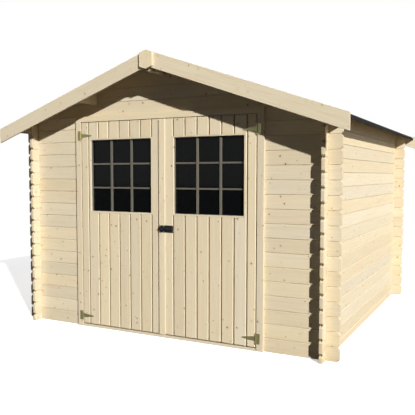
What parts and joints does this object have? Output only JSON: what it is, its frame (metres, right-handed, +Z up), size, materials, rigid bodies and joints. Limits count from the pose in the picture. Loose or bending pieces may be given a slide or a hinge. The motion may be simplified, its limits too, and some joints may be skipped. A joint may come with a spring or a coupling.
{
  "type": "wooden garden shed",
  "caption": "Garden shed of interlocking planks with crossing corners, a felt-covered pitched roof, gable fascias and outward-opening glazed double doors.",
  "frame": {"origin": "on the ground, under the middle of the outline of the whole shed", "axes": "+X to the right along the front, +Y from the front into the building, +Z up"},
  "size_m": [3.232, 3.246, 2.3723],
  "materials": {
    "pine": "planed, untreated",
    "felt": "matt mineral felt",
    "glass": "dark, smooth",
    "plated_steel": "yellow-green plated",
    "black_iron": "black enamel"
  },
  "bodies": {
    "cabin": {"front_wall_left": "pine", "front_wall_right": "pine", "front_gable": "pine", "back_wall": "pine", "back_gable": "pine", "left_wall": "pine", "right_wall": "pine", "floor": "pine", "ridge_beam": "pine", "left_purlin": "pine", "right_purlin": "pine", "roof_boards_left": "pine", "roof_boards_right": "pine", "roof_felt_left": "felt", "roof_felt_right": "felt", "front_fascia_left": "pine", "front_fascia_right": "pine", "back_fascia_left": "pine", "back_fascia_right": "pine", "front_ridge_plate": "pine", "back_ridge_plate": "pine", "left_door_post": "pine", "right_door_post": "pine", "door_head": "pine", "door_sill": "pine", "left_hinge_plates": "plated_steel", "right_hinge_plates": "plated_steel"},
    "left_door": {"left_leaf": "pine", "left_ledges": "pine", "left_window_frame": "pine", "left_glass": "glass", "left_hinge_straps": "plated_steel"},
    "right_door": {"right_leaf": "pine", "right_ledges": "pine", "right_window_frame": "pine", "right_glass": "glass", "right_hinge_straps": "plated_steel", "cover_strip": "pine", "bolt_plate": "black_iron", "door_bolt": "black_iron", "bolt_guide": "black_iron"}
  },
  "joints": [
    {"name": "left_door_hinge", "type": "hinge", "parent": "cabin", "child": "left_door", "pos_m": [-0.8545, -1.3805, 0.9], "axis": [0, 0, -1], "range_deg": [0, 120]},
    {"name": "right_door_hinge", "type": "hinge", "parent": "cabin", "child": "right_door", "pos_m": [0.8545, -1.3805, 0.9], "axis": [0, 0, 1], "range_deg": [0, 120]}
  ]
}
